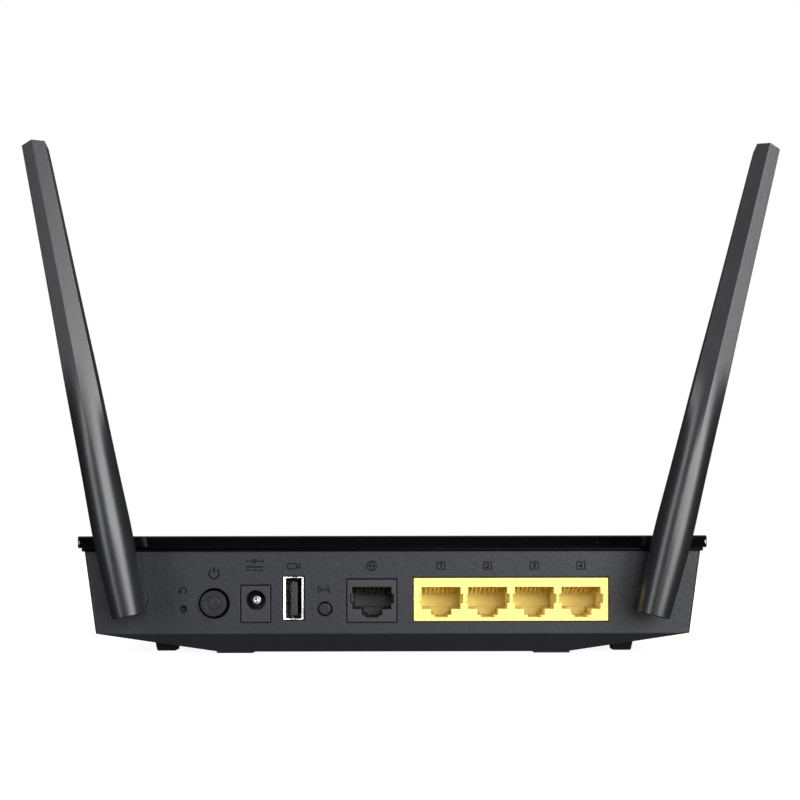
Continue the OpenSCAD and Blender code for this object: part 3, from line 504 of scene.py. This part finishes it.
def blade_outline(a):
    """The six-sided blade section of half width a, with rounded corners, point by point."""
    corners = [
        Vector(c) * a for c in (
            (0, -RIDGE_SHARE), (1, -SIDE_SHARE), (1, SIDE_SHARE),
            (0, RIDGE_SHARE), (-1, SIDE_SHARE), (-1, -SIDE_SHARE),
        )
    ]
    arcs = []
    for i, corner in enumerate(corners):
        before = (corners[i - 1] - corner).normalized()
        after = (corners[(i + 1) % 6] - corner).normalized()
        half = math.acos(max(-1.0, min(1.0, before.dot(after)))) / 2
        reach = EDGE_ROUND / math.tan(half)
        centre = corner + (before + after).normalized() * EDGE_ROUND / math.sin(half)
        first, last = corner + before * reach - centre, corner + after * reach - centre
        turn = first.angle_signed(last)
        arcs.append([
            centre + Matrix.Rotation(-turn * k / (CORNER_POINTS - 1), 2) @ first
            for k in range(CORNER_POINTS)
        ])
    outline = []
    for i, arc in enumerate(arcs):
        outline += arc
        start, end = arc[-1], arcs[(i + 1) % 6][0]
        outline += [start.lerp(end, k / (SIDE_POINTS + 1)) for k in range(1, SIDE_POINTS + 1)]
    return outline


def section(s):
    """The antenna's outline at height s: round below, six-sided above."""
    a = smooth_lookup(s, HALF_WIDTHS)
    m = morph(s)
    return [flat * m + flat.normalized() * a * (1 - m) for flat in blade_outline(a)]


def antenna_rings():
    """Rings of the antenna's outer form from its cut lower end to its sloping tip."""
    rings = []
    quarter = [math.pi / 2 * k / ROUNDING_STEPS for k in range(ROUNDING_STEPS + 1)]
    for angle in quarter:
        height = -ANTENNA_DOWN + END_ROUND * (1 - math.cos(angle))
        narrow = 1 - END_ROUND * (1 - math.sin(angle)) / HALF_WIDTHS[0][1]
        rings.append([(p.x * narrow, p.y * narrow, height) for p in section(height)])
    body_top = ANTENNA_UP - TIP_LENGTH
    start = rings[-1][0][2]
    for i in range(1, BODY_RINGS + 1):
        s = start + (body_top - start) * i / BODY_RINGS
        rings.append([(p.x, p.y, s) for p in section(s)])
    rear = -RIDGE_SHARE * HALF_WIDTHS[-1][1]
    for angle in quarter:
        ring = []
        for p in section(ANTENNA_UP):
            inner = p * (1 - TIP_ROUND * (1 - math.cos(angle)) / p.length)
            cut = ANTENNA_UP - (inner.y - rear) * math.tan(TIP_SLOPE)
            ring.append((inner.x, inner.y, cut - TIP_ROUND * (1 - math.sin(angle))))
        rings.append(ring)
    return rings


def antenna(side, body):
    """A high-resolution sleeve with its journal and bores, in place of the plain CAD sleeve."""
    name = body + "_skin"
    centre, up, along = Vector((0, 0, 0)), Vector((0, 0, 1)), Vector((0, 1, 0))
    groove = combined(
        rod("groove", along * GROOVE_FROM, along * GROOVE_TO, JOURNAL_R + CUT),
        [("DIFFERENCE", rod("core", along * (GROOVE_FROM - CUT), along * (GROOVE_TO + CUT), GROOVE_R))],
    )
    mesh = combined(loft("form", antenna_rings()), [
        ("UNION", rod("journal", centre, along * JOURNAL_END, JOURNAL_R)),
        ("DIFFERENCE", rod("bore", up * -(ANTENNA_DOWN + CUT), up * SLEEVE_BORE_TOP, SLEEVE_BORE_R)),
        ("DIFFERENCE", rod("fine_bore", up * (SLEEVE_BORE_TOP - CUT), up * BLADE_BORE_TOP, BLADE_BORE_R)),
        ("DIFFERENCE", rod("cable_bore", centre, along * (JOURNAL_END + CUT), JOURNAL_BORE_R)),
        ("DIFFERENCE", groove),
    ])
    joint = JOINTS[body + "_swing"]
    outward = joint["range_deg"][0] if side < 0 else joint["range_deg"][1]
    lean = side * math.radians(90 - abs(outward))
    place = Matrix.Translation(joint["pos_m"]) @ Matrix.Rotation(lean, 4, "Y") @ Matrix.Scale(MM, 4)
    mesh.transform(place)
    mesh.shade_smooth()
    mesh.set_sharp_from_angle(angle=SKIN_SHARP_ANGLE)
    skin = piece(name, mesh, MATERIALS["antenna_plastic"], body)
    even = skin.modifiers.new("even", "WEIGHTED_NORMAL")
    even.keep_sharp = True
    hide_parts(body + "_sleeve")


# ---------------------------------------------------------------- marks on the panel and the lid

# In millimetres: how far the marks stand out and sink in, and the ports and lamps they belong to
PANEL_PROUD = 0.05
LID_PROUD = 0.02
SUNK = 0.03
PORTS = 4
PORT_PITCH = 13.97
LAMP_WIDTH = 1.6
# From a lamp back to its sign, and the sizes and line widths of the signs and digits on the lid
LID_SIGN_GAP = 3.6
LID_SIGN_SIZE = 0.62
LID_SIGN_WIDTH = 0.22
LID_DIGIT_SIZE = 0.85
LID_DIGIT_WIDTH = 0.24
# Line widths on the panel are multiplied by this
PANEL_WEIGHT = 1.4
# Degrees of an arc to each of its straight steps
ARC_STEP = 12


def ribbon(points, width, closed=False):
    """The outline pairs of a flat stroke of constant width along points, with mitred corners."""
    count = len(points)
    pairs = []
    for i, p in enumerate(points):
        before = points[i - 1] if closed or i > 0 else None
        after = points[(i + 1) % count] if closed or i < count - 1 else None
        incoming = (p - before).normalized() if before is not None else (after - p).normalized()
        outgoing = (after - p).normalized() if after is not None else incoming
        normal = Vector((-(incoming.y + outgoing.y), incoming.x + outgoing.x)).normalized()
        reach = width / 2 / max(0.35, normal.dot(Vector((-incoming.y, incoming.x))))
        pairs.append((p + normal * reach, p - normal * reach))
    return pairs


class Marks:
    """Flat marks gathered into one thin mesh that stands just proud of a face."""

    def __init__(self, origin, right, up, proud, weight=1.0):
        self.origin, self.right, self.up = Vector(origin), Vector(right), Vector(up)
        self.out = self.right.cross(self.up)
        self.proud, self.weight = proud, weight
        self.vertices, self.faces = [], []

    def place(self, point, height):
        return self.origin + (self.right * point.x + self.up * point.y + self.out * height) * MM

    def stroke(self, at, points, width, closed=False):
        """A stroke through points given round at, all in millimetres on the face."""
        centre = Vector(at)
        pairs = ribbon([centre + Vector(p) for p in points], width * self.weight, closed)
        base = len(self.vertices)
        for left, right in pairs:
            corners = ((left, self.proud), (right, self.proud), (right, -SUNK), (left, -SUNK))
            self.vertices += [self.place(point, height) for point, height in corners]
        count = len(pairs)
        for i in range(count if closed else count - 1):
            a, b = base + 4 * i, base + 4 * ((i + 1) % count)
            for j in range(4):
                k = (j + 1) % 4
                self.faces.append((a + j, b + j, b + k, a + k))
        if not closed:
            last = base + 4 * (count - 1)
            self.faces.append((base, base + 1, base + 2, base + 3))
            self.faces.append((last + 3, last + 2, last + 1, last))

    def arc(self, at, radius, start, end, width):
        """Part of a circle from start to end, in degrees anticlockwise from the right."""
        closed = abs(end - start) >= 360
        count = max(8, round(abs(end - start) / ARC_STEP))
        angles = [math.radians(start + (end - start) * i / count) for i in range(count + (not closed))]
        self.stroke(at, [(radius * math.cos(a), radius * math.sin(a)) for a in angles], width, closed)

    def box(self, at, half_w, half_h, width):
        """A rectangle's outline round at."""
        corners = [(-half_w, -half_h), (half_w, -half_h), (half_w, half_h), (-half_w, half_h)]
        self.stroke(at, corners, width, closed=True)

    def finish(self, name, material):
        """Makes the gathered marks one piece on the case."""
        mesh = mesh_of(name, self.vertices, self.faces)
        bm = bmesh.new()
        bm.from_mesh(mesh)
        bmesh.ops.recalc_face_normals(bm, faces=bm.faces)
        bm.to_mesh(mesh)
        bm.free()
        return piece(name, mesh, material, "base")


DIGITS = {
    1: [(-0.28, 0.36), (0.06, 0.62), (0.06, -0.62)],
    2: [
        (-0.36, 0.34), (-0.18, 0.58), (0.2, 0.58), (0.38, 0.3),
        (0.3, 0.04), (-0.38, -0.58), (0.42, -0.58),
    ],
    3: [
        (-0.34, 0.56), (0.34, 0.56), (-0.02, 0.1), (0.34, -0.08),
        (0.32, -0.44), (0.04, -0.6), (-0.36, -0.5),
    ],
    4: [(0.2, -0.62), (0.2, 0.6), (-0.4, -0.22), (0.44, -0.22)],
}


def port_sign(marks, at, number):
    """A small socket outline with its port number."""
    marks.box(at, 1.15, 1.1, 0.24)
    marks.stroke(at, DIGITS[number], 0.26)


def power_sign(marks, at, size, width=0.34):
    """The standby sign: an open ring and a bar."""
    marks.arc(at, 1.5 * size, 122, 418, width)
    marks.stroke(at, [(0, 0.35 * size), (0, 1.95 * size)], width)


def globe_sign(marks, at, size, width=0.22):
    """A plain globe with one meridian pair and the equator."""
    marks.arc(at, 1.5 * size, 0, 360, width)
    marks.stroke(at, [(-1.35 * size, 0), (1.35 * size, 0)], width)
    for side in (-1, 1):
        bow = [
            (side * 0.62 * size * math.cos(t), 1.36 * size * math.sin(t))
            for t in (-1.4, -0.7, 0, 0.7, 1.4)
        ]
        marks.stroke(at, bow, width)


def waves_sign(marks, at, size, width=0.24):
    """Two arcs on each side of a dot: wireless pairing."""
    for radius in (1.0, 1.8):
        for middle in (0, 180):
            marks.arc(at, radius * size, middle - 42, middle + 42, width)
    marks.arc(at, 0.18 * size, 0, 360, 0.3 * size)


def memory_sign(marks, at, size, width=0.22):
    """A plain memory stick lying on its side."""
    marks.box((at[0] - 0.45 * size, at[1]), 1.3 * size, 0.78 * size, width)
    tail = [(0.95, 0.45), (1.9, 0.45), (1.9, -0.45), (0.95, -0.45)]
    marks.stroke(at, [(x * size, y * size) for x, y in tail], width)


def reset_sign(marks, at, size, width=0.26):
    """An arrow that turns back on itself."""
    radius, end = 1.05 * size, 210
    marks.arc(at, radius, -60, end, width)
    x, y = radius * math.cos(math.radians(end)), radius * math.sin(math.radians(end))
    head = [(-0.5, 0.42), (0.12, -0.12), (0.42, 0.56)]
    marks.stroke(at, [(x + dx * size, y + dy * size) for dx, dy in head], width)


def direct_current_sign(marks, at):
    """Centre-positive plug over the sign for direct current."""
    top = (at[0], at[1] + 1.35)
    marks.arc(top, 0.62, 45, 315, 0.22)
    marks.arc(top, 0.14, 0, 360, 0.24)
    marks.stroke(top, [(0.28, 0), (1.7, 0)], 0.2)
    marks.stroke(top, [(-0.72, 0), (-1.7, 0)], 0.2)
    marks.stroke(top, [(-2.7, 0), (-2.0, 0)], 0.24)
    marks.stroke(top, [(2.0, 0), (2.7, 0)], 0.24)
    marks.stroke(top, [(2.35, -0.35), (2.35, 0.35)], 0.24)
    marks.stroke(at, [(-2.6, -0.35), (2.6, -0.35)], 0.3)
    for i in (-1, 0, 1):
        marks.stroke(at, [(i * 1.95 - 0.62, -1.35), (i * 1.95 + 0.62, -1.35)], 0.3)


def middle_of(node):
    """The middle of a node along the panel, in millimetres."""
    low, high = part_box(node)
    return (low.x + high.x) / 2 / MM


def panel_marks():
    """The marks over the sockets and buttons on the rear panel, in millimetres across and up it.

    Each row gives a sign, the node it stands over, how far aside of it, its height and its size.
    """
    marks = Marks((0, PANEL_Y, 0), (1, 0, 0), (0, 0, 1), PANEL_PROUD, PANEL_WEIGHT)
    signs = [
        (power_sign, "power_button", 0, 24.5, 1.0),
        (memory_sign, "usb_shell", 0, 26.7, 1.0),
        (waves_sign, "wps_button", -0.4, 19.7, 0.9),
        (globe_sign, "wan_jack_housing", 0, 26.8, 0.95),
        (reset_sign, "reset_button", 0, 19.4, 0.95),
    ]
    for sign, node, aside, height, size in signs:
        sign(marks, (middle_of(node) + aside, height), size)
    direct_current_sign(marks, (middle_of("dc_jack_housing") - 0.3, 26.9))
    for i in range(PORTS):
        across = middle_of("lan_jack_housing") + (i - (PORTS - 1) / 2) * PORT_PITCH
        port_sign(marks, (across, 26.8), i + 1)
    marks.finish("panel_marks", DARK_INK)


def lid_marks():
    """A small sign behind each lamp window on the lid, read from the front."""
    marks = Marks((0, 0, LID_TOP), (-1, 0, 0), (0, -1, 0), LID_PROUD)
    low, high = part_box("status_leds")
    signs = [power_sign, waves_sign, globe_sign, 1, 2, 3, 4, memory_sign]
    gaps = len(signs) - 1
    pitch = (high.x - low.x - LAMP_WIDTH * MM) / gaps / MM
    row = (low.y + high.y) / 2 / MM
    for i, sign in enumerate(signs):
        at = ((i - gaps / 2) * pitch, -row + LID_SIGN_GAP)
        if sign in DIGITS:
            points = [(x * LID_DIGIT_SIZE, y * LID_DIGIT_SIZE) for x, y in DIGITS[sign]]
            marks.stroke(at, points, LID_DIGIT_WIDTH)
        else:
            sign(marks, at, LID_SIGN_SIZE, LID_SIGN_WIDTH)
    marks.finish("lid_marks", PALE_INK)


# ---------------------------------------------------------------- studio

# Camera: 375 mm behind the panel and just under the lid's top; its frame is shifted, not tilted
CAMERA_X = 0.011
CAMERA_BACK = 0.375
CAMERA_DROP = 0.0002
CAMERA_ROLL = math.radians(0.1)
LENS = 56.34
SHIFT_X = -0.0363
SHIFT_Y = 0.1704

SKY = 0.35
HORIZON = 0.02
BOUNCE = 0.12
FLOOR_ALBEDO = 0.3
FLOOR_GLOW = 0.92
FLOOR_HALF = 6.0
FLOOR_SINK = 0.02
SURROUND_GLOW = 1.0
SURROUND_R = 5.5
# Softboxes, in metres and watts: place, width and height, power, and the linking it uses. The
# cover is kept off the boxes that it would mirror, and the low rim strips light only the cover.
SOFTBOXES = {
    "right_strip": ((0.63, -0.84, 0.25), (0.58, 1.0), 17.5, "unlit"),
    "left_strip": ((-0.68, -0.78, 0.25), (0.28, 1.0), 5.8, "unlit"),
    "rear_low": ((0.14, -0.80, 0.18), (0.26, 0.20), 2.6, "unlit"),
    "overhead": ((0.0, 0.1, 1.2), (1.0, 1.0), 8.0, None),
    "front_box": ((0.0, 0.6, 1.3), (0.9, 0.5), 11.0, "unlit"),
    "right_rim": ((0.80, -0.38, 0.02), (0.7, 0.12), 7.0, "edged"),
    "left_rim": ((-0.80, -0.38, 0.02), (0.7, 0.12), 2.5, "edged"),
}
AIM = Vector((0, -0.03, 0.06))


def add_camera():
    """Level, behind the rear panel at lid height; the frame is shifted up to take in the antennas."""
    data = bpy.data.cameras.new("camera")
    data.sensor_width = 36
    data.lens = LENS
    data.shift_x = SHIFT_X
    data.shift_y = SHIFT_Y
    data.clip_start = 0.01
    data.clip_end = 50
    camera = new_object("camera", data)
    camera.location = (CAMERA_X, PANEL_Y - CAMERA_BACK, LID_TOP - CAMERA_DROP)
    camera.rotation_euler = (math.radians(90), CAMERA_ROLL, 0)
    bpy.context.scene.camera = camera


def cover_linking(name, state):
    """A light-linking collection that leaves the cover out (EXCLUDE) or holds it alone (INCLUDE)."""
    collection = bpy.data.collections.new(name)
    collection.objects.link(frame["nodes"]["top_cover"])
    for entry in collection.collection_objects:
        entry.light_linking.link_state = state
    return collection


def add_softboxes():
    """Every softbox, aimed at the rear panel and unseen by the camera."""
    linkings = {
        "unlit": cover_linking("unlit", "EXCLUDE"),
        "edged": cover_linking("edged", "INCLUDE"),
    }
    for name, (location, size, power, linking) in SOFTBOXES.items():
        data = bpy.data.lights.new(name, "AREA")
        data.shape = "RECTANGLE"
        data.size, data.size_y = size
        data.energy = power
        light = new_object(name, data)
        light.location = location
        light.rotation_mode = "QUATERNION"
        light.rotation_quaternion = (AIM - Vector(location)).to_track_quat("-Z", "Y")
        light.visible_camera = False
        if linking:
            light.light_linking.receiver_collection = linkings[linking]


def pale_surface(name, colour, strength):
    """A plain matt material that glows evenly."""
    paint = Paint(name)
    paint.set(Base_Color=colour, Roughness=0.9, Specular_IOR_Level=0.1)
    paint.set(Emission_Color=(1.0, 1.0, 1.0), Emission_Strength=strength)
    return paint.material


def add_sky():
    """Weak light from above and below, dark at the horizon so that upright gloss stays black."""
    world = bpy.data.worlds.new("studio")
    world.use_nodes = True
    bpy.context.scene.world = world
    nodes, links = world.node_tree.nodes, world.node_tree.links
    direction = nodes.new("ShaderNodeTexCoord")
    height = nodes.new("ShaderNodeSeparateXYZ")
    links.new(direction.outputs["Generated"], height.inputs["Vector"])
    total = nodes.new("ShaderNodeMath")
    upward = {"From Min": 0.1, "From Max": 0.8, "To Min": HORIZON, "To Max": SKY}
    downward = {"From Min": -0.1, "From Max": -0.8, "To Min": 0.0, "To Max": BOUNCE}
    for i, numbers in enumerate((upward, downward)):
        ramp = nodes.new("ShaderNodeMapRange")
        ramp.interpolation_type = "SMOOTHSTEP"
        for key, number in numbers.items():
            ramp.inputs[key].default_value = number
        links.new(height.outputs["Z"], ramp.inputs["Value"])
        links.new(ramp.outputs["Result"], total.inputs[i])
    links.new(total.outputs["Value"], nodes["Background"].inputs["Strength"])
    nodes["Background"].inputs["Color"].default_value = (1.0, 1.0, 1.0, 1)


def add_backdrop(name, mesh, material):
    """A stage piece that the camera sees but that throws no light on the router."""
    mesh.materials.append(material)
    obj = new_object(name, mesh)
    obj.visible_diffuse = False
    obj.visible_glossy = False
    obj.visible_transmission = False
    obj.visible_shadow = False
    return obj


def add_stage():
    """A pale floor, a pale surround, weak light from the sky, and the softboxes."""
    half = FLOOR_HALF
    corners = [(-half, -half, 0), (half, -half, 0), (half, half, 0), (-half, half, 0)]
    floor_paint = pale_surface("floor_paint", (FLOOR_ALBEDO, FLOOR_ALBEDO, FLOOR_ALBEDO), FLOOR_GLOW)
    floor = add_backdrop("floor", mesh_of("floor", corners, [(0, 1, 2, 3)]), floor_paint)
    floor.location.z = -FLOOR_SINK * MM

    bm = bmesh.new()
    bmesh.ops.create_icosphere(bm, subdivisions=4, radius=SURROUND_R)
    surround_mesh = bpy.data.meshes.new("surround")
    bm.to_mesh(surround_mesh)
    bm.free()
    add_backdrop("surround", surround_mesh, pale_surface("surround_paint", (0.0, 0.0, 0.0), SURROUND_GLOW))

    add_sky()
    add_softboxes()
    bpy.context.scene.view_settings.view_transform = "Standard"


# ---------------------------------------------------------------- build

add_camera()
add_stage()
dress_nodes()
antenna(-1, "left_antenna")
antenna(1, "right_antenna")
panel_marks()
lid_marks()
